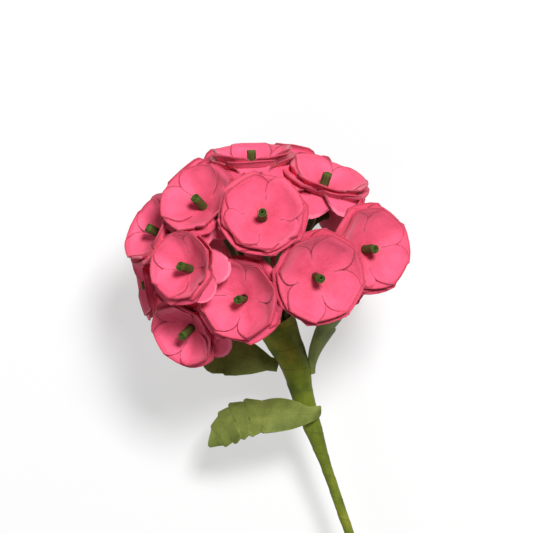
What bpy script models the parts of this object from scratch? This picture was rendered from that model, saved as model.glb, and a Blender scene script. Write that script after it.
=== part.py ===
"""Paper flower: a ball of pink paper florets on a wire stem bound with green paper tape.

Every floret is a rolled green paper stalk that carries two cups, one inside the other.  A cup is two
four-petalled sheets, crossed and glued at the middle, so eight petals stand around it.  The stalks
are gathered in the mouth of the tape, around the top of the stem wire, and three serrated paper
leaves are glued to the tape below them.

The flower lies on its side: X runs across the stem, Y along it towards the head, Z up.
"""

import math

import bmesh
import bpy
from mathutils import Matrix, Vector

MM = 0.001

# Driving dimensions, in metres
GAP = 0.3 * MM                     # left between pieces that touch
HEAD_CENTRE = Vector((1.2, 135.8, 46.6)) * MM

SHEET = 0.35 * MM                  # petal paper
GLUED = 0.8 * MM                   # two sheets and the glue between them, at the middle of a cup
HOLE_RADIUS = 1.3 * MM             # through the middle of a cup, for the stalk
CUP_RISE = 1.5 * MM                # of the inner cup above the outer one
OUTER_CUP = {"width": 1.0, "depth": 8.0 * MM, "curl": 66}
INNER_CUP = {"width": 0.87, "depth": 9.0 * MM, "curl": 78}

# A petal of the front sheet and one of the back sheet, root to tip: share of the way to the cup's rim
# at the petal's edge and at its middle, half its spread (degrees), and the heights of its upper and
# its lower face off the cup (m)
FRONT_PETAL = [
    (0.36, 0.36, 22, GLUED / 2, -GLUED / 2),
    (0.46, 0.46, 25, 0.10 * MM + SHEET, 0.10 * MM),
    (0.74, 0.74, 36, 0.10 * MM + SHEET, 0.10 * MM),
    (0.90, 1.00, 25, 0.10 * MM + SHEET, 0.10 * MM),
]
BACK_PETAL = [
    (0.36, 0.36, 20, GLUED / 2, -GLUED / 2),
    (0.46, 0.46, 16, -0.20 * MM, -0.20 * MM - SHEET),
    (0.74, 0.74, 30, -0.50 * MM, -0.50 * MM - SHEET),
    (0.90, 1.00, 22, -0.60 * MM, -0.60 * MM - SHEET),
]

STALK_ENDS = 0.65 * MM             # radii along a rolled stalk
STALK_RADIUS = 1.1 * MM
CALYX_RADIUS = 2.1 * MM
NECK_RADIUS = 0.95 * MM
STAMEN_RADIUS = 1.7 * MM
STAMEN_TIP = 8.6 * MM             # above the middle of the outer cup
CALYX_LENGTH = 8 * MM
CALYX_FOOT = 2 * MM                # below the cups, where the swelling stops growing
CALYX_GROWTH = 0.7                 # of the swelling that is reached there
STALK_BENDS = 6                    # stations from the socket to the calyx
ARRIVE = 8 * MM                    # straight run below the calyx
LEAVE = 10 * MM                    # run out of the socket, straight on but for a lean outwards
LEAVE_LEAN = 0.3
INNER_STALKS = 6                   # around the wire; the other stalks stand around these
WIRE_END = 2 * MM                  # bare wire that sticks out of the tape

WIRE_RADIUS = 0.7 * MM
WIRE_BORE = 1.0 * MM
TAPE_WALL = 0.5 * MM               # around the socket for the stalks, in the mouth of the tape
SOCKET_POINTS = 4                  # of the stem's route, that the socket reaches down
INNER_RING = 0.53                  # of the stalks nearest the wire, as a share of the outer ring
LEAF_THICKNESS = 0.8 * MM
LEAF_ARCH = 0.16                   # drop of the margins below the midrib, as a share of the half width

# Florets: place of the middle of the outer cup from the head's centre (mm), the way it faces
# (azimuth from +X, tilt from straight up, degrees), the rim's radius (mm) and the roll (degrees)
FLORETS = [
    ("floret_01", (2.2, 11.6, 38), 76, 18, 13.9, 20),
    ("floret_02", (12.5, -12, 34), -39, 16, 15.2, 40),
    ("floret_03", (-12, -11.6, 32), 166, 17, 13.7, 10),
    ("floret_04", (-25.6, 3.3, 33), 143, 34, 11.5, 25),
    ("floret_05", (-15, 21.5, 28), 113, 40, 13.0, 50),
    ("floret_06", (4, 28, 17), 73, 78, 13.8, 0),
    ("floret_07", (24, 13.5, 18), 53, 70, 14.2, 15),
    ("floret_08", (31, -9, 21), -13, 33, 14.4, 30),
    ("floret_09", (-31, 17, 16), 133, 64, 12.4, 5),
    ("floret_10", (-37, 3, 4), 171, 82, 12.2, 35),
    ("floret_11", (-32, -14.6, 16), 203, 42, 11.8, 60),
    ("floret_12", (-13.5, 28, -2), 111, 102, 13.0, 20),
    ("floret_13", (17, 22.5, -5), 61, 104, 13.0, 45),
    ("floret_14", (25, 7, -15), 1, 122, 14.0, 10),
    ("floret_15", (-1, -2, -36), -19, 180, 14.6, 0),
    ("floret_16", (-21, 9, -30), 151, 142, 14.0, 30),
    ("floret_17", (19, -12, -30), -24, 142, 14.0, 55),
    ("floret_18", (6, 22, -27), 76, 140, 14.0, 15),
]

# Stem: points of its centre line from the head's centre (mm), and the radius of the tape there (mm)
STEM_ROUTE = [
    ((-5.2, -22, -7.5), 7.4),
    ((-4.6, -30, -10.0), 6.2),
    ((-3.7, -38, -12.5), 5.1),
    ((-3.7, -43, -14.0), 4.7),
    ((-4.5, -50, -16.0), 3.9),
    ((-4.9, -60, -18.0), 3.3),
    ((-4.9, -65, -19.0), 3.0),
    ((-4.9, -79, -21.2), 1.7),
    ((-4.9, -105, -24.0), 1.5),
    ((-4.9, -160, -29.2), 1.5),
    ((-4.9, -230, -36.6), 1.5),
    ((-4.9, -312, -45.1), 1.5),
]

# Leaf outline: distance from the base (mm) and half the width there (mm), with its saw teeth
LEAF_OUTLINE = [
    (0, 2.2), (4, 2.6), (9, 4.8), (15, 7.0), (19, 8.2), (19.8, 7.4), (24, 8.9), (24.8, 7.9),
    (28.5, 8.6), (29.3, 7.4), (32.5, 7.2), (33.3, 5.8), (36.5, 4.8), (37.1, 3.6), (41, 0.3),
]

# Leaves: points of the midrib from the head's centre (mm), each with the blade's roll (degrees)
LEAVES = [
    ("leaf_lower", [((-0.2, -59.2, -12.8), -30), ((-4.9, -58.6, -10.6), -4), ((-9.6, -56.8, -11.6), 12),
                    ((-19, -53.0, -13.5), 52), ((-30, -51.5, -15.0), 42), ((-42.5, -58, -18), 12)]),
    ("leaf_left", [((-9.4, -38.5, -14.0), 10), ((-15, -35, -15.0), 12), ((-25, -28, -15.5), 15),
                   ((-39, -17, -17.0), 15)]),
    ("leaf_right", [((2.3, -45.5, -14.6), 72), ((3.7, -41.0, -14.0), 70), ((10, -34.5, -13.5), 68),
                    ((19, -28.0, -14.0), 68), ((30, -21, -16.0), 68)]),
]


def fresh_scene():
    """Remove whatever the file holds."""
    for old in list(bpy.data.objects):
        bpy.data.objects.remove(old, do_unlink=True)


def paper(name, colour, roughness, metallic=0.0):
    """A plain material in the piece's own colour."""
    material = bpy.data.materials.new(name)
    material.use_nodes = True
    shader = material.node_tree.nodes["Principled BSDF"]
    shader.inputs["Base Color"].default_value = (*colour, 1.0)
    shader.inputs["Roughness"].default_value = roughness
    shader.inputs["Metallic"].default_value = metallic
    return material


def add_object(name, mesh, material, parent):
    """Put a finished mesh in the scene under its own name."""
    piece = bpy.data.objects.new(name, mesh)
    piece.data.materials.append(material)
    piece.parent = parent
    bpy.context.collection.objects.link(piece)
    return piece


def finish_mesh(name, mesh_data):
    """Turn a bmesh with its faces closed into a mesh of flat triangles that faces outwards."""
    bmesh.ops.triangulate(mesh_data, faces=mesh_data.faces)
    bmesh.ops.recalc_face_normals(mesh_data, faces=mesh_data.faces)
    mesh = bpy.data.meshes.new(name)
    mesh_data.to_mesh(mesh)
    mesh_data.free()
    mesh.shade_smooth()
    mesh.set_sharp_from_angle(angle=math.radians(40))
    return mesh


# Cups of petals

def cup_point(cup, radius, share, turn, lift):
    """A point of a cup: share of the way from the middle to the rim, turned, lifted off the paper."""
    curl = math.radians(cup["curl"])
    slope = curl * share
    out = radius * math.sin(slope) / math.sin(curl)
    up = cup["depth"] * (1 - math.cos(slope)) / (1 - math.cos(curl))
    lean = math.atan2(cup["depth"] * math.sin(slope) * math.sin(curl),
                      radius * math.cos(slope) * (1 - math.cos(curl)))
    out -= lift * math.sin(lean)
    up += lift * math.cos(lean)
    return Vector((out * math.cos(turn), out * math.sin(turn), up))


def cup_mesh(name, cup, rim_radius):
    """Two crossed four-petalled sheets as one closed shape, with a hole for the stalk."""
    bm = bmesh.new()
    radius = rim_radius * cup["width"]
    root_top = []
    root_bottom = []
    for petal in range(8):
        middle_turn = math.radians(45 * petal)
        top_rows = []
        bottom_rows = []
        petal_rows = FRONT_PETAL if petal % 2 == 0 else BACK_PETAL
        for edge_share, middle_share, spread, top, bottom in petal_rows:
            top_row = []
            bottom_row = []
            for side in (-1, 0, 1):
                share = middle_share if side == 0 else edge_share
                turn = middle_turn + side * math.radians(spread)
                top_row.append(bm.verts.new(cup_point(cup, radius, share, turn, top)))
                bottom_row.append(bm.verts.new(cup_point(cup, radius, share, turn, bottom)))
            top_rows.append(top_row)
            bottom_rows.append(bottom_row)
        for row in range(len(top_rows) - 1):
            for side in range(2):
                a, b = top_rows[row][side], top_rows[row][side + 1]
                c, d = top_rows[row + 1][side + 1], top_rows[row + 1][side]
                bm.faces.new((a, b, c, d))
                a, b = bottom_rows[row][side], bottom_rows[row][side + 1]
                c, d = bottom_rows[row + 1][side + 1], bottom_rows[row + 1][side]
                bm.faces.new((d, c, b, a))
            for side in (0, 2):
                a, b = top_rows[row][side], top_rows[row + 1][side]
                c, d = bottom_rows[row + 1][side], bottom_rows[row][side]
                bm.faces.new((a, b, c, d))
        for side in range(2):
            a, b = top_rows[-1][side], top_rows[-1][side + 1]
            c, d = bottom_rows[-1][side + 1], bottom_rows[-1][side]
            bm.faces.new((a, b, c, d))
        root_top.append(top_rows[0])
        root_bottom.append(bottom_rows[0])

    # The glued middle: a washer with eight corners at its hole, walled between the petals' roots
    half = GLUED / 2
    hole_top = []
    hole_bottom = []
    for petal in range(8):
        turn = math.radians(45 * petal)
        rim = Vector((HOLE_RADIUS * math.cos(turn), HOLE_RADIUS * math.sin(turn), 0))
        hole_top.append(bm.verts.new(rim + Vector((0, 0, half))))
        hole_bottom.append(bm.verts.new(rim - Vector((0, 0, half))))
    for petal in range(8):
        following = (petal + 1) % 8
        for roots, hole in ((root_top, hole_top), (root_bottom, hole_bottom)):
            left, middle, right = roots[petal]
            bm.faces.new((hole[petal], left, middle))
            bm.faces.new((hole[petal], middle, right))
            bm.faces.new((hole[petal], right, roots[following][0], hole[following]))
        bm.faces.new((hole_top[petal], hole_top[following], hole_bottom[following], hole_bottom[petal]))
        bm.faces.new((root_top[petal][2], root_top[following][0],
                      root_bottom[following][0], root_bottom[petal][2]))
    return finish_mesh(name, bm)


# Round pieces that follow a route

def ring_tube(bm, stations, sides, closed_ends=True):
    """Rings of (centre, tangent, radius) skinned into a tube; returns the rings."""
    rings = []
    side = None
    for centre, tangent, radius in stations:
        tangent = tangent.normalized()
        if side is None:
            side = tangent.orthogonal().normalized()
        side = (side - tangent * side.dot(tangent)).normalized()
        across = tangent.cross(side)
        ring = []
        for step in range(sides):
            turn = 2 * math.pi * step / sides
            place = centre + (side * math.cos(turn) + across * math.sin(turn)) * radius
            ring.append(bm.verts.new(place))
        rings.append(ring)
    for first, second in zip(rings, rings[1:]):
        for step in range(sides):
            following = (step + 1) % sides
            bm.faces.new((first[step], first[following], second[following], second[step]))
    if closed_ends:
        bm.faces.new(list(reversed(rings[0])))
        bm.faces.new(rings[-1])
    return rings


def route_tangents(points):
    """Direction of travel at each point of a route."""
    tangents = []
    last = len(points) - 1
    for index in range(len(points)):
        before = points[max(index - 1, 0)]
        after = points[min(index + 1, last)]
        tangents.append((after - before).normalized())
    return tangents


def bezier_point(a, b, c, d, t):
    """A point of a cubic curve."""
    s = 1 - t
    return a * s ** 3 + b * 3 * s * s * t + c * 3 * s * t * t + d * t ** 3


def facing(azimuth, tilt):
    """Unit vector from an azimuth and a tilt in degrees."""
    a = math.radians(azimuth)
    t = math.radians(tilt)
    return Vector((math.sin(t) * math.cos(a), math.sin(t) * math.sin(a), math.cos(t)))


def stem_points():
    """The stem's centre line in world metres."""
    return [HEAD_CENTRE + Vector(place) * MM for place, radius in STEM_ROUTE]


def bundle_routes():
    """Each stalk's way up the socket: some around the wire, the rest around those, by direction."""
    centres = stem_points()
    mouth = centres[0]
    forward = (mouth - centres[1]).normalized()
    across = forward.cross(Vector((0, 0, 1))).normalized()
    upward = across.cross(forward).normalized()
    reaches = {}
    for name, place, azimuth, tilt, rim, roll in FLORETS:
        reach = HEAD_CENTRE + Vector(place) * MM - mouth
        reaches[name] = reach.normalized()
    straightest = sorted(reaches, key=lambda name: -reaches[name].dot(forward))
    routes = {}
    for names, ring in ((straightest[:INNER_STALKS], INNER_RING), (straightest[INNER_STALKS:], 1.0)):
        angles = {}
        for name in names:
            angles[name] = math.atan2(reaches[name].dot(upward), reaches[name].dot(across))
        ordered = sorted(names, key=lambda name: angles[name])
        spacing = 2 * math.pi / len(ordered)
        start = sum(angles[name] - spacing * index for index, name in enumerate(ordered)) / len(ordered)
        for index, name in enumerate(ordered):
            turn = start + spacing * index
            outward = across * math.cos(turn) + upward * math.sin(turn)
            points = []
            for centre, (place, tape_radius) in zip(centres[:SOCKET_POINTS], STEM_ROUTE):
                room = tape_radius * MM - TAPE_WALL - GAP - STALK_RADIUS
                points.append(centre + outward * room * ring)
            points.reverse()
            points[0] += forward * 2 * GAP
            leave = points[-1] + (forward + outward * LEAVE_LEAN * ring) * LEAVE
            routes[name] = (points, leave)
    return routes


def stalk_mesh(name, hub, axis, socket_points, leave):
    """A rolled paper rod from the socket, through both cups, to the stamen's tip."""
    half = GLUED / 2
    calyx_top = hub - axis * (half + GAP)
    calyx_foot = calyx_top - axis * CALYX_FOOT
    inner_top = CUP_RISE + half + GAP
    arrive = calyx_foot - axis * ARRIVE
    mouth = socket_points[-1]
    points = list(socket_points)
    for step in range(1, STALK_BENDS + 1):
        points.append(bezier_point(mouth, leave, arrive, calyx_foot, step / STALK_BENDS))
    tangents = route_tangents(points)
    tangents[-1] = axis
    stations = []
    in_socket = len(socket_points) - 1
    for index, point in enumerate(points):
        grown = min(index / in_socket, 1)
        radius = STALK_ENDS + (STALK_RADIUS - STALK_ENDS) * grown
        to_calyx = (calyx_foot - point).length
        if to_calyx < CALYX_LENGTH:
            radius += (CALYX_RADIUS - STALK_RADIUS) * CALYX_GROWTH * (1 - to_calyx / CALYX_LENGTH)
        stations.append((point, tangents[index], radius))
    stations.append((calyx_top, axis, CALYX_RADIUS))
    stations.append((calyx_top, axis, NECK_RADIUS))
    stations.append((hub + axis * inner_top, axis, NECK_RADIUS))
    stations.append((hub + axis * inner_top, axis, STAMEN_RADIUS))
    stations.append((hub + axis * STAMEN_TIP, axis, STAMEN_RADIUS))
    bm = bmesh.new()
    ring_tube(bm, stations, 6)
    return finish_mesh(name, bm)


def build_florets(parent, petal_paper, outer_paper, green_paper):
    """All florets: two cups and a stalk each."""
    routes = bundle_routes()
    for name, place, azimuth, tilt, rim, roll in FLORETS:
        hub = HEAD_CENTRE + Vector(place) * MM
        axis = facing(azimuth, tilt)
        turned = axis.to_track_quat("Z", "Y").to_matrix().to_4x4()
        pose = Matrix.Translation(hub) @ turned @ Matrix.Rotation(math.radians(roll), 4, "Z")
        outer = add_object(name + "_outer_cup", cup_mesh(name, OUTER_CUP, rim * MM), outer_paper, parent)
        outer.matrix_world = pose
        inner = add_object(name + "_inner_cup", cup_mesh(name, INNER_CUP, rim * MM), petal_paper, parent)
        inner.matrix_world = pose @ Matrix.Translation((0, 0, CUP_RISE))
        socket_points, leave = routes[name]
        stalk = stalk_mesh(name, hub, axis, socket_points, leave)
        add_object(name + "_stalk", stalk, green_paper, parent)


# Stem

def build_stem(parent, wire_metal, tape_paper):
    """The bare wire and the paper tape wound on it, open at the mouth for the stalks."""
    points = stem_points()
    tangents = route_tangents(points)
    radii = [radius * MM for place, radius in STEM_ROUTE]
    wire = bmesh.new()
    stations = [(point, tangent, WIRE_RADIUS) for point, tangent in zip(points, tangents)]
    end = points[-1] + tangents[-1] * WIRE_END
    stations.append((end, tangents[-1], WIRE_RADIUS))
    ring_tube(wire, stations, 8)
    add_object("stem_wire", finish_mesh("stem_wire", wire), wire_metal, parent)

    sides = 12
    tape = bmesh.new()
    outside = list(zip(points, tangents, radii))
    outer_rings = ring_tube(tape, outside, sides, closed_ends=False)
    inside = []
    for index in range(SOCKET_POINTS):
        inside.append((points[index], tangents[index], radii[index] - TAPE_WALL))
    for index in range(SOCKET_POINTS - 1, len(points)):
        inside.append((points[index], tangents[index], WIRE_BORE))
    inner_rings = ring_tube(tape, inside, sides, closed_ends=False)
    for outer, inner in ((outer_rings[0], inner_rings[0]), (outer_rings[-1], inner_rings[-1])):
        for step in range(sides):
            following = (step + 1) % sides
            tape.faces.new((outer[step], outer[following], inner[following], inner[step]))
    add_object("stem_tape", finish_mesh("stem_tape", tape), tape_paper, parent)


# Leaves

def leaf_mesh(name, route):
    """A serrated blade that follows its midrib, slightly arched across."""
    knots = [HEAD_CENTRE + Vector(place) * MM for place, roll in route]
    lengths = [0.0]
    for before, after in zip(knots, knots[1:]):
        lengths.append(lengths[-1] + (after - before).length)
    rolls = [math.radians(roll) for place, roll in route]
    tangents = route_tangents(knots)
    full_length = LEAF_OUTLINE[-1][0]
    bm = bmesh.new()
    rings = []
    for distance, half_width in LEAF_OUTLINE:
        travelled = lengths[-1] * distance / full_length
        index = 0
        while index < len(knots) - 2 and lengths[index + 1] < travelled:
            index += 1
        span = lengths[index + 1] - lengths[index]
        t = (travelled - lengths[index]) / span
        handle = span / 3
        centre = bezier_point(knots[index], knots[index] + tangents[index] * handle,
                              knots[index + 1] - tangents[index + 1] * handle, knots[index + 1], t)
        tangent = tangents[index].lerp(tangents[index + 1], t).normalized()
        roll = rolls[index] + (rolls[index + 1] - rolls[index]) * t
        flat_side = tangent.cross(Vector((0, 0, 1))).normalized()
        turned = Matrix.Rotation(roll, 3, tangent)
        side = turned @ flat_side
        normal = side.cross(tangent)
        width = half_width * MM
        sag = width * LEAF_ARCH
        ring = []
        for across, drop in ((-1, sag), (0, 0), (1, sag)):
            ring.append(centre + side * across * width - normal * drop)
        under = [point - normal * LEAF_THICKNESS for point in reversed(ring)]
        rings.append([bm.verts.new(point) for point in ring + under])
    count = len(rings[0])
    for first, second in zip(rings, rings[1:]):
        for step in range(count):
            following = (step + 1) % count
            bm.faces.new((first[step], first[following], second[following], second[step]))
    for ring in (rings[0], rings[-1]):
        left, middle, right, right_under, middle_under, left_under = ring
        bm.faces.new((left, middle, middle_under, left_under))
        bm.faces.new((middle, right, right_under, middle_under))
    return finish_mesh(name, bm)


def build_leaves(parent, leaf_paper):
    """Three leaves, glued to the tape."""
    for name, route in LEAVES:
        add_object(name, leaf_mesh(name, route), leaf_paper, parent)


fresh_scene()
flower = bpy.data.objects.new("flower", None)
bpy.context.collection.objects.link(flower)
build_florets(
    flower,
    paper("petal paper", (0.86, 0.13, 0.24), 0.75),
    paper("outer petal paper", (0.78, 0.10, 0.20), 0.75),
    paper("rolled green paper", (0.09, 0.14, 0.03), 0.8),
)
build_stem(
    flower,
    paper("stem wire", (0.45, 0.45, 0.43), 0.4, 1.0),
    paper("stem tape", (0.12, 0.18, 0.03), 0.7),
)
build_leaves(flower, paper("leaf paper", (0.14, 0.20, 0.05), 0.7))
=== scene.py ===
"""The looks of the paper flower: pink paper florets, green rolled stalks, a bound stem and three leaves."""

import math
import random

import bpy
from mathutils import Matrix, Vector


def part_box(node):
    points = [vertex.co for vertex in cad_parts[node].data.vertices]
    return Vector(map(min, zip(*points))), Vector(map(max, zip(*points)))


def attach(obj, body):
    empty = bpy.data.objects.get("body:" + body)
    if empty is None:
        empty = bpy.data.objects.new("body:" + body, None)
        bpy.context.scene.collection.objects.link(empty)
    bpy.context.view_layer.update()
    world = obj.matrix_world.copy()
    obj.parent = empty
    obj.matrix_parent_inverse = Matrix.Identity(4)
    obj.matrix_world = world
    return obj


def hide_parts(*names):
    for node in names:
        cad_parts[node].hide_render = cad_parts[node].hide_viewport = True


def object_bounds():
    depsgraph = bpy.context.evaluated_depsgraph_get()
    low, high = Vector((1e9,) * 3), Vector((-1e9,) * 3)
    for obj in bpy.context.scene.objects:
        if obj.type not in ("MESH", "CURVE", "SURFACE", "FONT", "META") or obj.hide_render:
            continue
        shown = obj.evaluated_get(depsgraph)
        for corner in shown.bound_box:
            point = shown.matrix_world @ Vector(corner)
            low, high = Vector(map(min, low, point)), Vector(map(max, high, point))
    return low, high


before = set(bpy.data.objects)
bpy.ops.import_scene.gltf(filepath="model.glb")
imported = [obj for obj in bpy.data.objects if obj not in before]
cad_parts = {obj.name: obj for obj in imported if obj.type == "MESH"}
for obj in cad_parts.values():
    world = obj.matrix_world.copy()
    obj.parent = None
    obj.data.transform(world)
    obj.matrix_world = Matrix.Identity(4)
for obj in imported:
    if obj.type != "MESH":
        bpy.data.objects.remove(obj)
cad_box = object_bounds()


# ---------------------------------------------------------------------------------------------------
# Petal cups.  Each cup is two four-petalled sheets of pink paper, crossed and glued at the middle.
# The petals are curled up by hand over a rod, so their tips roll outwards, some more than others.
# The rolled green stalk is pushed up through the hole in the middle and holds both cups.

MM = 0.001


class Value:
    """One number, vector or colour in a node tree: sums written with it add the nodes."""

    def __init__(self, bench, node, output):
        self.bench = bench
        self.node = node
        self.socket = node.outputs[output]

    def maths(self, operation, *numbers):
        return self.bench.add("ShaderNodeMath", {"operation": operation}, dict(enumerate(numbers)))

    def __add__(self, other):
        return self.maths("ADD", self, other)

    def __sub__(self, other):
        return self.maths("SUBTRACT", self, other)

    def __mul__(self, other):
        return self.maths("MULTIPLY", self, other)

    def __truediv__(self, other):
        return self.maths("DIVIDE", self, other)

    def __pow__(self, other):
        return self.maths("POWER", self, other)

    def __rsub__(self, other):
        return self.maths("SUBTRACT", other, self)

    def __rtruediv__(self, other):
        return self.maths("DIVIDE", other, self)

    __radd__ = __add__
    __rmul__ = __mul__

    def sine(self):
        return self.maths("SINE", self)

    def cosine(self):
        return self.maths("COSINE", self)

    def unsigned(self):
        return self.maths("ABSOLUTE", self)

    def slope_over(self, run):
        return self.maths("ARCTAN2", self, run)

    def part_turn(self):
        return self.maths("FRACT", self)

    def at_most(self, other):
        return self.maths("MINIMUM", self, other)

    def at_least(self, other):
        return self.maths("MAXIMUM", self, other)

    def held(self):
        """Kept between 0 and 1."""
        return self.at_least(0).at_most(1)

    def output(self, name):
        return Value(self.bench, self.node, name)


class Bench:
    """A node tree being laid out, with one method that adds any node."""

    def __init__(self, tree):
        self.tree = tree

    def add(self, kind, settings=None, inputs=None, output=0):
        node = self.tree.nodes.new(kind)
        for name, setting in (settings or {}).items():
            if name == "stops":
                ramp = node.color_ramp
                while len(ramp.elements) < len(setting):
                    ramp.elements.new(1)
                for element, (place, colour) in zip(ramp.elements, setting):
                    element.position = place
                    element.color = (*colour, 1)
            else:
                setattr(node, name, setting)
        self.fill(node, inputs or {})
        return Value(self, node, output) if node.outputs else None

    def fill(self, node, inputs):
        """Set or link a node's sockets."""
        for key, given in inputs.items():
            if isinstance(given, Value):
                self.tree.links.new(given.socket, node.inputs[key])
            else:
                node.inputs[key].default_value = given

    def vector(self, x, y, z):
        return self.add("ShaderNodeCombineXYZ", {}, {"X": x, "Y": y, "Z": z})


class ShapeTree(Bench):
    """A Geometry Nodes tree with named inputs for its sizes."""

    def __init__(self, name, sizes):
        super().__init__(bpy.data.node_groups.new(name, "GeometryNodeTree"))
        face = self.tree.interface
        face.new_socket("Geometry", in_out="INPUT", socket_type="NodeSocketGeometry")
        face.new_socket("Geometry", in_out="OUTPUT", socket_type="NodeSocketGeometry")
        self.identifiers = {}
        for size, kind in sizes.items():
            self.identifiers[size] = face.new_socket(size, in_out="INPUT", socket_type=kind).identifier
        self.start = self.add("NodeGroupInput")

    def size(self, name):
        return self.start.output(name)

    def named(self, name, kind="FLOAT"):
        return self.add("GeometryNodeInputNamedAttribute", {"data_type": kind}, {"Name": name})

    def keep(self, shape, name, value, kind="FLOAT"):
        return self.add("GeometryNodeStoreNamedAttribute", {"data_type": kind, "domain": "POINT"},
                        {"Geometry": shape, "Name": name, "Value": value})

    def finish(self, shape, paper):
        """Make the copies real and give them their material."""
        shape = self.add("GeometryNodeRealizeInstances", {}, {"Geometry": shape})
        shape = self.add("GeometryNodeSetMaterial", {}, {"Geometry": shape, "Material": paper})
        self.add("NodeGroupOutput", {}, {"Geometry": shape})

    def make(self, thing, sizes):
        """Run the tree on an object and return the plain mesh."""
        modifier = thing.modifiers.new("shape", "NODES")
        modifier.node_group = self.tree
        for size, given in sizes.items():
            modifier[self.identifiers[size]] = given
        ready = thing.evaluated_get(bpy.context.evaluated_depsgraph_get())
        mesh = bpy.data.meshes.new_from_object(ready)
        bpy.data.objects.remove(thing)
        return mesh


FLOAT = "NodeSocketFloat"
INTEGER = "NodeSocketInt"
MATERIAL = "NodeSocketMaterial"


class Finish(Bench):
    """A material laid out around its one shader."""

    def __init__(self, name):
        self.material = bpy.data.materials.new(name)
        self.material.use_nodes = True
        super().__init__(self.material.node_tree)
        self.shader = self.tree.nodes["Principled BSDF"]
        self.body = self.add("ShaderNodeTexCoord", {}, {}, "Object")

    def noise(self, place, scale, detail, roughness=0.5):
        return self.add("ShaderNodeTexNoise", {}, {
            "Vector": place, "Scale": scale, "Detail": detail, "Roughness": roughness})

    def mark(self, name, output="Fac"):
        return self.add("ShaderNodeAttribute", {"attribute_name": name}, {}, output)

    def stretched(self, along):
        """The piece's own place, with the pattern drawn out along its length."""
        return self.add("ShaderNodeVectorMath", {"operation": "MULTIPLY"}, {0: self.body, 1: (1, along, 1)})

    def ramp(self, stops, factor):
        return self.add("ShaderNodeValToRGB", {"stops": stops}, {"Fac": factor}, "Color")

    def mix(self, factor, under, colour):
        return self.add("ShaderNodeMix", {"data_type": "RGBA"}, {
            "Factor": factor, "A": under, "B": (*colour, 1)}, "Result")

    def bump(self, strength, distance, height):
        return self.add("ShaderNodeBump", {}, {"Strength": strength, "Distance": distance, "Height": height})

    def coat(self, inputs):
        """Fill the shader's own sockets and return the material."""
        self.fill(self.shader, inputs)
        return self.material


SHARP_ABOVE = math.radians(50)


def finish_piece(name, mesh, node, thickness):
    """A shaped mesh becomes a piece: given its paper's thickness, shaded smooth, attached to the root body,
    and shown in place of the CAD node it stands for, which is hidden.
    """
    piece = bpy.data.objects.new(name, mesh)
    bpy.context.collection.objects.link(piece)
    wall = piece.modifiers.new("paper", "SOLIDIFY")
    wall.thickness = thickness
    wall.offset = 0
    ready = piece.evaluated_get(bpy.context.evaluated_depsgraph_get())
    walled = bpy.data.meshes.new_from_object(ready)
    piece.modifiers.clear()
    piece.data = walled
    piece.data.shade_smooth()
    piece.data.set_sharp_from_angle(angle=SHARP_ABOVE)
    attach(piece, "root")
    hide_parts(node)


RIPPLE_SCALE = 130.0
MERGE = 0.01 * MM


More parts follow.
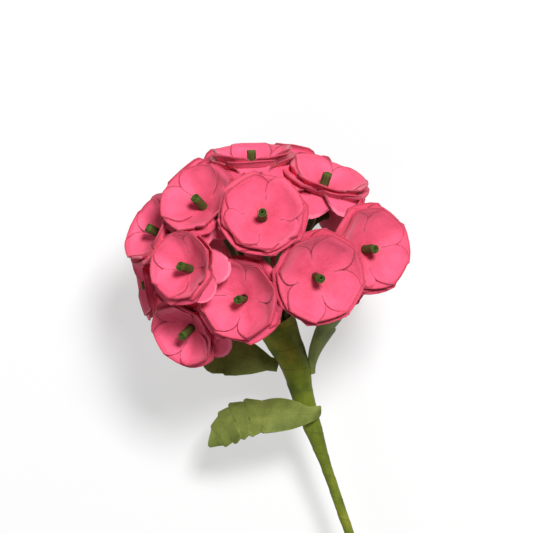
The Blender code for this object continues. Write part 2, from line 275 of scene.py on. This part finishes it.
def petal_cup_tree():
    """Round petals, one on each point: a flat patch is cut to the petal's outline and curled up."""
    tree = ShapeTree("petal cup", {
        "Columns": INTEGER, "Rows": INTEGER, "Rim radius": FLOAT, "Depth": FLOAT, "Curl": FLOAT,
        "Hole": FLOAT, "Lobe centre": FLOAT, "Trim": FLOAT, "Crease": FLOAT, "Waviness": FLOAT, "Seed": FLOAT,
        "Paper": MATERIAL,
    })
    radius = tree.size("Rim radius")
    depth = tree.size("Depth")
    curl = tree.size("Curl")
    hole = tree.size("Hole")
    lobe = tree.size("Lobe centre")
    patch = tree.add("GeometryNodeMeshGrid", {}, {
        "Size X": 2.0, "Size Y": 1.0, "Vertices X": tree.size("Columns"), "Vertices Y": tree.size("Rows")})
    shape = tree.add("GeometryNodeInstanceOnPoints", {}, {"Points": tree.start, "Instance": patch})
    shape = tree.add("GeometryNodeRealizeInstances", {}, {"Geometry": shape})
    flat = tree.add("ShaderNodeSeparateXYZ", {}, {"Vector": tree.add("GeometryNodeInputPosition")})
    place = tree.vector(flat.output("X"), flat.output("Y") + 0.5, tree.named("sheet"))
    shape = tree.keep(shape, "petal_place", place, "FLOAT_VECTOR")
    where = tree.add("ShaderNodeSeparateXYZ", {}, {"Vector": tree.named("petal_place", "FLOAT_VECTOR")})
    across = where.output("X")
    along = where.output("Y")

    # The cut: four round lobes that touch at the slits, which end where the lobes meet; the tips are
    # trimmed straight, but for those of the petals that are bent back
    angle = (across * (math.pi / 2)).sine() * (math.pi / 4)
    chord = (0.5 - angle.sine() * angle.sine()).at_least(0) ** 0.5
    slit = lobe * math.cos(math.pi / 4)
    outline = slit + (lobe * (angle.cosine() + chord) - slit) * tree.named("reach")
    eighth = math.pi / 8
    off_corner = eighth - (angle.unsigned() - eighth).unsigned()
    trimmed = outline.at_most(tree.size("Trim") / off_corner.cosine() * tree.named("reach"))
    outline = trimmed + (outline - trimmed) * tree.named("bent_back")
    share = hole + (outline - hole) * along
    beyond = ((share - slit) / (1 - slit)).at_least(0)
    off_lobe = (share * share + lobe * lobe - share * lobe * angle.cosine() * 2).at_least(0) ** 0.5
    # How far inside a petal's round outline each point lies: the paper paints its edge highlight and slit
    # shade from this
    shape = tree.keep(shape, "rim_gap", slit - off_lobe)
    off_middle = angle * (1 + tree.named("widen") * beyond) + tree.named("lean") * beyond
    turn = tree.named("turn") + off_middle

    # The cup has eight flat sides that both sheets follow; a petal that is bent back has only its own
    own_side = off_middle.unsigned()
    shared_side = eighth - (own_side - eighth).unsigned()
    off_side = shared_side + (own_side - shared_side) * tree.named("bent_back")
    forward = share * off_side.cosine()

    # The curl of the cup: how far out and up the paper lies, and how fast both grow along it
    def curled(slope):
        out = radius * slope.sine() / curl.sine()
        up = depth * (1 - slope.cosine()) / (1 - curl.cosine())
        return out, up

    def growth(slope):
        run = radius * slope.cosine() / curl.sine()
        rise = depth * slope.sine() / (1 - curl.cosine())
        return run, rise

    out, up = curled(curl * forward)
    run, rise = growth(curl * forward)
    steep = rise.slope_over(run)

    # The tip: round a short crease at the fold, and straight on from there
    fold = tree.named("fold")
    crease = tree.size("Crease")
    past = (forward - fold).at_least(0)
    in_crease = past.at_most(crease)
    beyond_crease = past - in_crease
    bend = (tree.named("roll") * in_crease / crease).at_least(0.001)
    run, rise = growth(curl * fold)
    fold_steep = rise.slope_over(run)
    stretch = curl * (run * run + rise * rise) ** 0.5
    onward = stretch * (in_crease * bend.sine() / bend + beyond_crease * bend.cosine())
    outward = stretch * (in_crease * (1 - bend.cosine()) / bend + beyond_crease * bend.sine())
    folded = (past * 1000).at_most(1)
    fold_out, fold_up = curled(curl * fold)
    tip_out = fold_out + onward * fold_steep.cosine() + outward * fold_steep.sine()
    tip_up = fold_up + onward * fold_steep.sine() - outward * fold_steep.cosine()
    out = out + (tip_out - out) * folded
    up = up + (tip_up - up) * folded
    steep = steep + (fold_steep - bend - steep) * folded
    # The folded lips of petals that are not bent back are marked for the paper's painted shade
    shape = tree.keep(shape, "lip", folded * (1 - tree.named("bent_back")))

    # One sheet lies on the other, petals lie over or under their neighbours, and none is quite smooth
    ripple = tree.add("ShaderNodeTexNoise", {"noise_dimensions": "4D"}, {
        "Vector": tree.vector(out * turn.cosine(), out * turn.sine(), 0.0),
        "W": tree.size("Seed"), "Scale": RIPPLE_SCALE, "Detail": 1.0})
    lift = tree.named("lift") + tree.named("over") * beyond.at_most(1)
    lift = lift + tree.named("twist") * across * beyond
    lift = lift + (ripple - 0.5) * tree.size("Waviness") * beyond
    out = (out - lift * steep.sine()) / off_side.cosine()
    up = up + lift * steep.cosine()
    shape = tree.add("GeometryNodeSetPosition", {}, {
        "Geometry": shape, "Position": tree.vector(out * turn.cosine(), out * turn.sine(), up)})
    shape = tree.add("GeometryNodeMergeByDistance", {}, {"Geometry": shape, "Distance": MERGE})
    tree.finish(shape, tree.size("Paper"))
    return tree


def petal_points(petals):
    """Loose points that carry each petal's own numbers."""
    mesh = bpy.data.meshes.new("petal points")
    mesh.from_pydata([(0, 0, 0)] * len(petals), [], [])
    for name in petals[0]:
        layer = mesh.attributes.new(name, "FLOAT", "POINT")
        for index, petal in enumerate(petals):
            layer.data[index].value = petal[name]
    thing = bpy.data.objects.new("petal points", mesh)
    bpy.context.collection.objects.link(thing)
    return thing


FIBRE_SCALE = 2600.0
CLOUD_SCALE = 240.0
PAPER_RELIEF = 0.14 * MM
SLIT_EDGE = 0.020                  # shares of the cup's rim radius within which a cut edge shows
# the painted shade in the slits between petals
SLIT_SHADE = (0.30, 0.004, 0.030)


def petal_paper(name, lit, deep, rim, rubbed):
    """Dyed matt paper with fine fibres; paler at the cut edges as a painted highlight, deeper at the root, on
    the rolled tips and along the slits as painted shade.
    """
    bench = Finish(name)
    place = bench.add("ShaderNodeSeparateXYZ", {}, {"Vector": bench.mark("petal_place", "Vector")})
    across = place.output("X")
    along = place.output("Y")
    fibres = bench.noise(bench.body, FIBRE_SCALE, 3.0, 0.6)
    clouds = bench.noise(bench.body, CLOUD_SCALE, 4.0, 0.55)
    creases = bench.noise(
        bench.vector(across * 7, along * 1.3, place.output("Z") * 9 + clouds), 1.6, 3.0)
    # Painted shade, deeper towards the root down in the cup
    root = (1 - along * 1.25).at_least(0)
    outer_half = (along * 6 - 3).held()
    # Near the round outline of a petal's tip, where the painted edge highlight and the painted slit shade go
    edge = ((SLIT_EDGE - bench.mark("rim_gap")) * 90).held() * outer_half
    slit_shade = edge * ((across.unsigned() - 0.22) * 6).held()
    # Painted shade over the folded lips, deepest at their tips: the shade that falls between the cups
    lip = bench.mark("lip")
    tip_shade = ((along - 0.95) * 30).at_least(0)
    # The paper's own cloudy tone, with the painted shade at the root
    colour = bench.mix(root * 0.75 + (clouds - 0.45) * 0.9, (*lit, 1), deep)
    colour = bench.mix(lip * (0.35 + tip_shade * 0.5), colour, deep)
    # Painted highlight: the cut edge is paler, except on the lips
    colour = bench.mix(edge * (1 - lip) * 0.3, colour, rim)
    # Painted shade: a deep crimson line where the cut edge runs along a slit
    colour = bench.mix(slit_shade * 0.95, colour, SLIT_SHADE)
    colour = bench.mix((fibres - 0.5) * 0.5 + 0.12, colour, rubbed)
    return bench.coat({
        "Base Color": colour, "Roughness": 0.72 + (fibres - 0.5) * 0.25,
        "Specular IOR Level": 0.4, "Sheen Weight": 0.12,
        "Normal": bench.bump(0.5, PAPER_RELIEF, fibres * 0.5 + clouds * 0.8 + creases * 1.6)})


def cad_corners(node):
    """Each corner of a CAD node once."""
    return [Vector(place) for place in {tuple(vertex.co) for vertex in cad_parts[node].data.vertices}]


def middle(places):
    """The mean of some points."""
    return sum(places, Vector()) / len(places)


HOLE_REACH = 2 * MM


def cup_place(node, low, axis):
    """The middle of a cup's hole and its rim's radius, from the CAD cup."""
    corners = cad_corners(node)
    off_axis = [(corner - low).cross(axis).length for corner in corners]
    hole = [corner for corner, off in zip(corners, off_axis) if off < HOLE_REACH]
    return middle(hole), max(off_axis)


# Each cup's curl in degrees, where its tips are folded, as shares of the rim radius, and how far the
# tips roll outwards there, in radians
CUPS = {
    "outer": {"depth": 8.0 * MM, "curl": 66, "fold": (0.78, 0.86), "roll": (0.3, 1.2)},
    "inner": {"depth": 9.0 * MM, "curl": 78, "fold": (0.80, 0.86), "roll": (0.3, 1.0)},
}
PAPER = 0.5 * MM
HOLE_RADIUS = 1.1 * MM
LOBE_CENTRE = 0.615                # shares of the rim radius: where a petal's round end is centred,
TRIM = 0.94                        # where its tip is trimmed
CREASE = 0.05                      # and how wide the bend at its fold is
WAVINESS = 1.1 * MM
COLUMNS = 17
ROWS = 20

# Small differences between hand-cut petals
REACH = (0.96, 1.04)               # of a petal's length
SPREAD = 0.6                       # of a petal's width, past the slits, where it leaves no gap
GAP_TO_SPREAD = 30                 # degrees of gap that would take up a whole width
GAPS = (3, 12)                     # degrees between the petals that are seen first
SMALL_GAPS = (0, 8)                # and between the others
LEAN = (-3, 3)                     # degrees sideways
SHEET_LIFT = 0.30 * MM             # of the upper sheet; the lower one lies as far below
OVER = 0.14 * MM                   # of a petal that lies over its neighbours
UNDER = 0.10 * MM                  # of one that lies under them
TWIST = 0.12 * MM

# A petal that stands up towards the light on a tilted floret is bent back, out of the cup's mouth
BENT_ABOVE = math.radians(14)      # above the level
BENT_FOLD = (0.60, 0.68)           # shares of the rim radius
BENT_GAP = 18                      # degrees
BENT_REACH = 0.08                  # of a petal's length, added to it
BENT_DROOP = (-0.2, 0.35)          # radians below the level

FLORETS = ["floret_%02d" % number for number in range(1, 19)]

# How some florets were glued: the way the first slit points, seen from above, and for the petals of the
# inner cup's top sheet the gaps between them (degrees) and how far their tips roll out (radians), or
# None where they roll as the petals of the other florets do
HANDWORK = {
    "floret_01": (-29, (0, -1, 2, 0), (1.1, 0.4, 0.3, 1.7)),
    "floret_02": (-4, (16, 17, 15, 16), (0.5, 0.4, 0.6, 0.7)),
    "floret_03": (61, (3, 12, 15, 13), (0.9, 0.4, 0.5, 0.4)),
    "floret_04": (76, (5, 6, 8, 4), None),
    "floret_05": (30, (4, 8, 5, 6), None),
    "floret_08": (80, (3, 6, 5, 9), (0.5, 0.3, 0.7, 0.4)),
}

hand = random.Random(7)
cup_tree = petal_cup_tree()
cup_papers = {
    "inner": petal_paper("pink petal paper", (0.84, 0.082, 0.186), (0.46, 0.006, 0.040),
                         (0.97, 0.36, 0.48), (0.95, 0.26, 0.38)),
    # The outer cup's paper is the inner's made a little darker: painted shade for the lower cup, under the
    # inner one
    "outer": petal_paper("pink outer petal paper", (0.80, 0.072, 0.168), (0.46, 0.007, 0.042),
                         (0.96, 0.33, 0.45), (0.93, 0.24, 0.36)),
}

floret_places = {}
for name in FLORETS:
    low = middle(cad_corners(name + "_outer_cup"))
    high = middle(cad_corners(name + "_inner_cup"))
    axis = (high - low).normalized()
    by_chance = (hand.uniform(0, 90), [hand.uniform(*GAPS) for petal in range(4)], None)
    first_slit, gaps, rolls = HANDWORK.get(name, by_chance)
    towards = Vector((math.cos(math.radians(first_slit)), math.sin(math.radians(first_slit)), 0))
    slit_line = (towards - axis * towards.dot(axis)).normalized()
    turned = Matrix((slit_line, axis.cross(slit_line), axis)).transposed().to_4x4()
    for cup, habit in CUPS.items():
        node = name + "_" + cup + "_cup"
        hub, rim = cup_place(node, low, axis)
        if cup == "outer":
            floret_places[name] = (hub, axis)
        petals = []
        for petal in range(8):
            is_top = petal % 2 == 0
            side = petal // 2
            is_over = side % 2 == 0
            is_seen_first = is_top and cup == "inner"
            gap = gaps[side] if is_seen_first else hand.uniform(*SMALL_GAPS)
            fold = hand.uniform(*habit["fold"])
            roll = rolls[side] if rolls and is_seen_first else hand.uniform(*habit["roll"])
            turn = math.radians(45 * petal + 45)
            raised = math.asin((turned @ Vector((math.cos(turn), math.sin(turn), 0))).z)
            ends_stack = is_top == (cup == "inner")  # the highest or the lowest of a floret's four sheets
            bent_back = ends_stack and raised > BENT_ABOVE and not rolls
            if bent_back:
                gap = BENT_GAP
                fold = hand.uniform(*BENT_FOLD)
                roll = math.radians(habit["curl"]) * fold + raised + hand.uniform(*BENT_DROOP)
            petals.append({
                "turn": turn,
                "sheet": float(petal),
                "reach": hand.uniform(*REACH) + BENT_REACH * bent_back,
                "widen": SPREAD - gap / GAP_TO_SPREAD,
                "bent_back": float(bent_back),
                "fold": fold,
                "lean": math.radians(hand.uniform(*LEAN)),
                "roll": roll,
                "lift": SHEET_LIFT if is_top else -SHEET_LIFT,
                "over": OVER if is_over else -UNDER,
                "twist": hand.uniform(-TWIST, TWIST),
            })
        mesh = cup_tree.make(petal_points(petals), {
            "Columns": COLUMNS, "Rows": ROWS, "Rim radius": rim, "Depth": habit["depth"],
            "Curl": math.radians(habit["curl"]), "Hole": HOLE_RADIUS / rim, "Lobe centre": LOBE_CENTRE,
            "Trim": TRIM, "Crease": CREASE, "Waviness": WAVINESS,
            "Seed": hand.uniform(0, 50), "Paper": cup_papers[cup]})
        mesh.transform(Matrix.Translation(hub) @ turned)
        finish_piece(name + "_" + cup + "_petals", mesh, node, PAPER)


# ---------------------------------------------------------------------------------------------------
# Stalks.  Each is one strip of green paper, rolled up tightly and glued along its edge.
# It widens under the cups, where the strip is wound thicker, and its free end is the stamen.

def rings(node, start, reach):
    """The rings of corners along a CAD piece, from the ring within reach of its corner nearest to start."""
    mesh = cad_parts[node].data
    numbers = {}
    of_vertex = [numbers.setdefault(tuple(vertex.co), len(numbers)) for vertex in mesh.vertices]
    corners = [Vector(place) for place in numbers]
    next_to = [set() for corner in corners]
    for edge in mesh.edges:
        a, b = (of_vertex[index] for index in edge.vertices)
        next_to[a].add(b)
        next_to[b].add(a)
    nearest = min(corners, key=lambda corner: (corner - start).length)
    ring = {index for index, corner in enumerate(corners) if (corner - nearest).length < reach}
    found = []
    seen = set()
    while ring:
        found.append([corners[index] for index in sorted(ring)])
        seen |= ring
        ring = {neighbour for index in ring for neighbour in next_to[index]} - seen
    return found


def ring_sizes(found):
    """The middle and the radius of each ring."""
    sizes = []
    for ring in found:
        centre = middle(ring)
        sizes.append((centre, sum((corner - centre).length for corner in ring) / len(ring)))
    return sizes


def on_curve(stations, index, t):
    """The place and the size at share t from a station to the next, on a smooth curve through them all."""
    last = len(stations) - 1
    a, b, c, d = (stations[min(max(index + shift, 0), last)] for shift in (-1, 0, 1, 2))
    weights = (-0.5 * t + t * t - 0.5 * t ** 3, 1 - 2.5 * t * t + 1.5 * t ** 3,
               0.5 * t + 2 * t * t - 1.5 * t ** 3, -0.5 * t * t + 0.5 * t ** 3)
    place = sum((weight * station[0] for weight, station in zip(weights, (a, b, c, d))), Vector())
    return place, b[1] + (c[1] - b[1]) * t


def smoothed(stations, steps):
    """More stations between the given ones."""
    fine = [on_curve(stations, index, step / steps)
            for index in range(len(stations) - 1) for step in range(steps)]
    return fine + [stations[-1]]


def route_line(stations):
    """A line of points with a radius at each, for a tree to follow."""
    mesh = bpy.data.meshes.new("route")
    mesh.from_pydata([place for place, radius in stations],
                     [(index, index + 1) for index in range(len(stations) - 1)], [])
    layer = mesh.attributes.new("thickness", "FLOAT", "POINT")
    for index, (place, radius) in enumerate(stations):
        layer.data[index].value = radius
    thing = bpy.data.objects.new("route", mesh)
    bpy.context.collection.objects.link(thing)
    return thing


def rolled_strip_tree():
    """A strip rolled on itself: a spiral carried along the route, as wide as the route's radius says."""
    tree = ShapeTree("rolled strip", {
        "Turns": FLOAT, "Core": FLOAT, "Steps a turn": INTEGER, "Paper": MATERIAL})
    route = tree.add("GeometryNodeMeshToCurve", {}, {"Mesh": tree.start})
    route = tree.keep(route, "far_along", tree.add("GeometryNodeSplineParameter", {}, {}, "Length"))
    route = tree.keep(route, "share_along", tree.add("GeometryNodeSplineParameter", {}, {}, "Factor"))
    spiral = tree.add("GeometryNodeCurveSpiral", {}, {
        "Resolution": tree.size("Steps a turn"), "Rotations": tree.size("Turns"),
        "Start Radius": tree.size("Core"), "End Radius": 1.0, "Height": 0.0})
    spiral = tree.keep(spiral, "rolled", tree.add("GeometryNodeSplineParameter", {}, {}, "Factor"))
    shape = tree.add("GeometryNodeCurveToMesh", {}, {
        "Curve": route, "Profile Curve": spiral, "Scale": tree.named("thickness")})
    tree.finish(shape, tree.size("Paper"))
    return tree


OLIVES = [(0.25, (0.018, 0.024, 0.004)), (0.5, (0.055, 0.066, 0.011)), (0.75, (0.120, 0.120, 0.025))]
CUT_GREEN = (0.085, 0.150, 0.022)
CUT_END = 0.985                    # share of the strip's length where the fresh cut end starts


def green_strip_paper():
    """Dark olive paper, creased along the roll, fresher green at its cut end."""
    bench = Finish("rolled green paper")
    grain = bench.noise(bench.body, 1500.0, 3.0)
    on_strip = bench.vector(bench.mark("rolled") * 55, bench.mark("far_along") * 160, 0.0)
    creases = bench.noise(on_strip, 1.0, 2.0)
    cut = ((bench.mark("share_along") - CUT_END) * 90).held()
    colour = bench.ramp(OLIVES, creases * 0.75 + grain * 0.25)
    return bench.coat({
        "Base Color": bench.mix(cut * 0.7, colour, CUT_GREEN),
        "Roughness": 0.75, "Specular IOR Level": 0.3,
        "Normal": bench.bump(0.8, 0.18 * MM, creases + grain * 0.3)})


STRIP = 0.2 * MM
STRIP_TURNS = 2.6
STRIP_CORE = 0.22                  # radius of the hole down the roll, as a share of the roll's own
STEPS_A_TURN = 18
ABOVE_STAMEN = 30 * MM
STAMEN_WIDTH = 3.6 * MM            # a little more than any stamen is wide
STRAIGHT_BELOW = 3.5 * MM          # of the hole in the cups: the stalk is straight from there on
STALK_STEPS = 5
strip_tree = rolled_strip_tree()
green_paper = green_strip_paper()
for name in FLORETS:
    hub, axis = floret_places[name]
    node = name + "_stalk"
    stations = ring_sizes(rings(node, hub + axis * ABOVE_STAMEN, STAMEN_WIDTH))
    stations.reverse()
    bend_end = next(index for index, (centre, radius) in enumerate(stations)
                    if (centre - hub).length < STRAIGHT_BELOW)
    line = smoothed(stations[:bend_end + 1], STALK_STEPS) + stations[bend_end + 1:]
    mesh = strip_tree.make(route_line(line), {
        "Turns": STRIP_TURNS, "Core": STRIP_CORE, "Steps a turn": STEPS_A_TURN, "Paper": green_paper})
    finish_piece(name + "_rolled_stalk", mesh, node, STRIP)


# ---------------------------------------------------------------------------------------------------
# Stem.  A drawn steel wire with green crepe-paper tape wound around it in a steep screw.
# Higher up the same tape is wound over the whole bundle of stalks, so the stem thickens to its mouth.

WRINKLE_SCALE = 260.0


def wound_tape_tree():
    """A sleeve along the route with the overlapping edges of the wound tape standing up from it."""
    tree = ShapeTree("wound tape", {
        "Step": FLOAT, "Sides": INTEGER, "Pitch": FLOAT, "Overlap": FLOAT, "Wrinkle": FLOAT,
        "Paper": MATERIAL})
    route = tree.add("GeometryNodeMeshToCurve", {}, {"Mesh": tree.start})
    route = tree.add("GeometryNodeResampleCurve", {"mode": "LENGTH"}, {
        "Curve": route, "Length": tree.size("Step")})
    route = tree.keep(route, "far_along", tree.add("GeometryNodeSplineParameter", {}, {}, "Length"))
    circle = tree.add("GeometryNodeCurvePrimitiveCircle", {}, {
        "Resolution": tree.size("Sides"), "Radius": 1.0})
    circle = tree.keep(circle, "around", tree.add("GeometryNodeSplineParameter", {}, {}, "Factor"))
    shape = tree.add("GeometryNodeCurveToMesh", {}, {
        "Curve": route, "Profile Curve": circle, "Scale": tree.named("thickness")})
    far = tree.named("far_along")
    around = tree.named("around")
    wind = (far / tree.size("Pitch") + around).part_turn()
    wrinkle = tree.add("ShaderNodeTexNoise", {"noise_dimensions": "3D"}, {
        "Vector": tree.add("GeometryNodeInputPosition"), "Scale": WRINKLE_SCALE, "Detail": 2.0})
    stand = tree.size("Overlap") * wind ** 1.5 + (wrinkle - 0.5) * tree.size("Wrinkle")
    shape = tree.add("GeometryNodeSetPosition", {}, {
        "Geometry": shape,
        "Offset": tree.add("ShaderNodeVectorMath", {"operation": "SCALE"}, {
            "Vector": tree.add("GeometryNodeInputNormal"), "Scale": stand})})
    tree.finish(shape, tree.size("Paper"))
    return tree


TAPE = 0.3 * MM
TAPE_PITCH = 8.5 * MM
TAPE_GREENS = [(0.30, (0.060, 0.090, 0.008)), (0.48, (0.125, 0.160, 0.012)),
               (0.62, (0.200, 0.215, 0.018)), (0.78, (0.310, 0.265, 0.025))]
LAP_GREEN = (0.035, 0.055, 0.008)
LAP_STARTS = 0.86                  # share of a winding where its overlapped edge starts to show


def stem_tape_paper():
    """Waxy crepe paper in mottled green, browner where it is stretched, dark in the laps."""
    bench = Finish("green stem tape")
    wind = (bench.mark("far_along") / TAPE_PITCH + bench.mark("around")).part_turn()
    lap = ((wind - LAP_STARTS) * 9).held()
    crepe = bench.noise(bench.stretched(0.25), 1400.0, 3.0)
    patches = bench.noise(bench.body, 130.0, 4.0)
    colour = bench.ramp(TAPE_GREENS, patches * 0.8 + crepe * 0.2)
    return bench.coat({
        "Base Color": bench.mix(lap * 0.3, colour, LAP_GREEN),
        "Roughness": 0.5 + crepe * 0.25, "Specular IOR Level": 0.2,
        "Normal": bench.bump(0.6, 0.12 * MM, crepe + patches * 0.6)})


STEELS = [(0.3, (0.30, 0.30, 0.29)), (0.7, (0.50, 0.50, 0.48))]


def drawn_wire_steel():
    """Bright drawn steel, streaked along the wire."""
    bench = Finish("drawn steel wire")
    streaks = bench.noise(bench.stretched(0.05), 4000.0, 2.0)
    return bench.coat({
        "Base Color": bench.ramp(STEELS, streaks), "Roughness": 0.3 + streaks * 0.2, "Metallic": 1.0})


WIRE_REACH = 1.5 * MM              # more than the wire is wide
BEYOND_STEM = cad_box[0] * 10
LEVEL = 1.0 * MM                   # the tape's corners this near a level belong to it
BUNDLE_REACH = 12 * MM             # from the wire, within which the bundle of stalks and its tape lie
PLAIN_TAPE_RADIUS = 1.5 * MM
TAPE_STEPS = 8
wire = ring_sizes(rings("stem_wire", BEYOND_STEM, WIRE_REACH))
tape_corners = cad_corners("stem_tape")

# The tape starts a little way up the wire, whose cut end stays bare
wire_end = wire[0][0]
up_wire = (wire[1][0] - wire_end).normalized()
bare = min((corner - wire_end).dot(up_wire) for corner in tape_corners)
wire[0] = (wire_end + up_wire * bare, wire[0][1])

tape_line = []
for index, (centre, wire_radius) in enumerate(wire):
    onward = (wire[min(index + 1, len(wire) - 1)][0] - wire[max(index - 1, 0)][0]).normalized()
    offs = [corner - centre for corner in tape_corners]
    radii = [off.length for off in offs if abs(off.dot(onward)) < LEVEL and off.length < BUNDLE_REACH]
    tape_line.append((centre, max(radii, default=PLAIN_TAPE_RADIUS)))
tape_mesh = wound_tape_tree().make(route_line(smoothed(tape_line, TAPE_STEPS)), {
    "Step": 0.5 * MM, "Sides": 48, "Pitch": TAPE_PITCH, "Overlap": 0.12 * MM, "Wrinkle": 0.35 * MM,
    "Paper": stem_tape_paper()})
finish_piece("stem_wound_tape", tape_mesh, "stem_tape", TAPE)
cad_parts["stem_wire"].material_slots[0].material = drawn_wire_steel()


# ---------------------------------------------------------------------------------------------------
# Leaves.  Each is cut from green card with a saw-toothed margin and pressed into a shallow arch.
# The narrow foot lies against the stem and is glued to the tape.

LEAF_GREENS = [(0.30, (0.090, 0.120, 0.022)), (0.52, (0.150, 0.185, 0.036)), (0.72, (0.220, 0.260, 0.060))]
MARGIN_GREEN = (0.25, 0.34, 0.07)


def leaf_card():
    """Grey-green card with a faint mottle, paler at the cut edge and creased along the midrib."""
    bench = Finish("green leaf card")
    place = bench.add("ShaderNodeSeparateXYZ", {}, {"Vector": bench.mark("leaf_place", "Vector")})
    off_midrib = place.output("X").unsigned()
    mottle = bench.noise(bench.body, 180.0, 5.0, 0.6)
    fibres = bench.noise(bench.body, 2400.0, 3.0)
    margin = ((off_midrib - 0.95) * 20).held()
    midrib = (1 - off_midrib * 14).at_least(0)
    colour = bench.ramp(LEAF_GREENS, mottle * 0.75 + fibres * 0.25)
    return bench.coat({
        "Base Color": bench.mix(margin * 0.5, colour, MARGIN_GREEN),
        "Roughness": 0.6 + fibres * 0.2, "Specular IOR Level": 0.2,
        "Normal": bench.bump(0.5, 0.1 * MM, fibres * 0.6 + mottle * 1.5 - midrib * 2)})


LEAF_CARD = 0.75 * MM
LEAF_RING_REACH = 1.5 * MM         # from the tip, within which the CAD leaf's first ring of corners lies
LEAF_STEPS = 6
LEAF_COLUMNS = 14
LEAF_ARCH = 0.16                   # height of the arch, as a share of the half width


def leaf_blade(name, material):
    """A dense blade through the CAD leaf's stations, with its teeth kept sharp."""
    stem_middle = wire[-4][0]
    tip = max(cad_corners(name), key=lambda corner: (corner - stem_middle).length)
    stations = []
    sides = []
    for ring in reversed(rings(name, tip, LEAF_RING_REACH)):
        a, b = max(((a, b) for a in ring for b in ring), key=lambda pair: (pair[0] - pair[1]).length)
        side = (a - b).normalized()
        if sides and side.dot(sides[-1]) < 0:
            side = -side
        sides.append(side)
        stations.append((middle(ring), (a - b).length / 2))
    last = len(stations) - 1
    rows = []
    for index in range(last):
        for step in range(LEAF_STEPS if index < last - 1 else LEAF_STEPS + 1):
            t = step / LEAF_STEPS
            place, half_width = on_curve(stations, index, t)
            rows.append((place, half_width, sides[index].lerp(sides[index + 1], t).normalized(),
                         (index + t) / last))
    verts = []
    leaf_places = []
    for number, (place, half_width, side, along) in enumerate(rows):
        after = rows[min(number + 1, len(rows) - 1)][0]
        before = rows[max(number - 1, 0)][0]
        up = side.cross((after - before).normalized()).normalized()
        if up.z < 0:
            up = -up
        for column in range(LEAF_COLUMNS + 1):
            across = 2 * column / LEAF_COLUMNS - 1
            arch = LEAF_ARCH * half_width * (0.5 - across * across)
            verts.append(place + side * across * half_width + up * arch)
            leaf_places.append((across, along, 0))
    wide = LEAF_COLUMNS + 1
    faces = []
    for row in range(len(rows) - 1):
        for column in range(LEAF_COLUMNS):
            corner = row * wide + column
            faces.append((corner, corner + 1, corner + wide + 1, corner + wide))
    mesh = bpy.data.meshes.new(name)
    mesh.from_pydata(verts, [], faces)
    layer = mesh.attributes.new("leaf_place", "FLOAT_VECTOR", "POINT")
    for index, place in enumerate(leaf_places):
        layer.data[index].vector = place
    mesh.materials.append(material)
    return mesh


leaf_paper = leaf_card()
for name in ("leaf_lower", "leaf_left", "leaf_right"):
    finish_piece(name + "_blade", leaf_blade(name, leaf_paper), name, LEAF_CARD)


# ---------------------------------------------------------------------------------------------------
# Table, light and camera.  The flower lies on a plain pale table that glows a little by itself, so
# that shadows on it stay faint, under a small lamp to the upper right and a weak fill from the left.
# The camera looks straight down from a metre above the middle of the head.

TABLE_HALF = 6.0
TABLE_TONES = [(0.0, (0.34, 0.34, 0.34)), (1.0, (0.35, 0.35, 0.35))]
# Painted light: the table glows by itself, so that it looks nearly white and shadows on it stay faint
TABLE_GLOW = 1.62
SURROUND = 0.10


def glowing_table():
    """A matt grey table that glows by itself: painted light that makes it look nearly white."""
    bench = Finish("pale table")
    colour = bench.ramp(TABLE_TONES, bench.noise(bench.body, 3.0, 1.0))
    return bench.coat({
        "Base Color": colour, "Emission Color": colour, "Emission Strength": TABLE_GLOW,
        "Roughness": 0.9, "Specular IOR Level": 0.0})


floor_mesh = bpy.data.meshes.new("table")
floor_mesh.from_pydata(
    [(-TABLE_HALF, -TABLE_HALF, 0), (TABLE_HALF, -TABLE_HALF, 0),
     (TABLE_HALF, TABLE_HALF, 0), (-TABLE_HALF, TABLE_HALF, 0)], [], [(0, 1, 2, 3)])
floor_mesh.materials.append(glowing_table())
floor = bpy.data.objects.new("table", floor_mesh)
bpy.context.collection.objects.link(floor)

world = bpy.data.worlds.new("studio")
bpy.context.scene.world = world
world.use_nodes = True
background = world.node_tree.nodes["Background"]
background.inputs["Color"].default_value = (1, 1, 1, 1)
background.inputs["Strength"].default_value = SURROUND

cup_boxes = [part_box(name + "_outer_cup") for name in FLORETS]
head_low = Vector([min(low[i] for low, high in cup_boxes) for i in range(3)])
head_high = Vector([max(high[i] for low, high in cup_boxes) for i in range(3)])
head = (head_low + head_high) / 2

# Each lamp's place from the head, its size and its power
LAMPS = {
    "key lamp": (Vector((0.45, 0.40, 1.30)), 0.35, 27.0),
    "fill lamp": (Vector((-0.8, -0.5, 1.1)), 0.8, 3.5),
}
for name, (place, size, power) in LAMPS.items():
    lamp = bpy.data.lights.new(name, "AREA")
    lamp.shape = "SQUARE"
    lamp.size = size
    lamp.energy = power
    stand = bpy.data.objects.new(name, lamp)
    stand.location = head + place
    stand.rotation_euler = (-place).to_track_quat("-Z", "Y").to_euler()
    bpy.context.collection.objects.link(stand)

CAMERA_HEIGHT = 1.0
CAMERA_PLACE = Vector((-1.6 * MM, -9.8 * MM, CAMERA_HEIGHT - 2.4 * MM))
CAMERA_TURN = math.radians(-19)
VIEW_WIDTH = 188.149 * MM          # at the head's middle
SENSOR = 36
camera_data = bpy.data.cameras.new("camera")
camera_data.sensor_width = SENSOR
camera_data.lens = SENSOR * CAMERA_HEIGHT / VIEW_WIDTH
camera_data.clip_end = 30
camera = bpy.data.objects.new("camera", camera_data)
camera.location = head + CAMERA_PLACE
camera.rotation_euler = (0, 0, CAMERA_TURN)
bpy.context.collection.objects.link(camera)
bpy.context.scene.camera = camera
bpy.context.scene.view_settings.view_transform = "Standard"
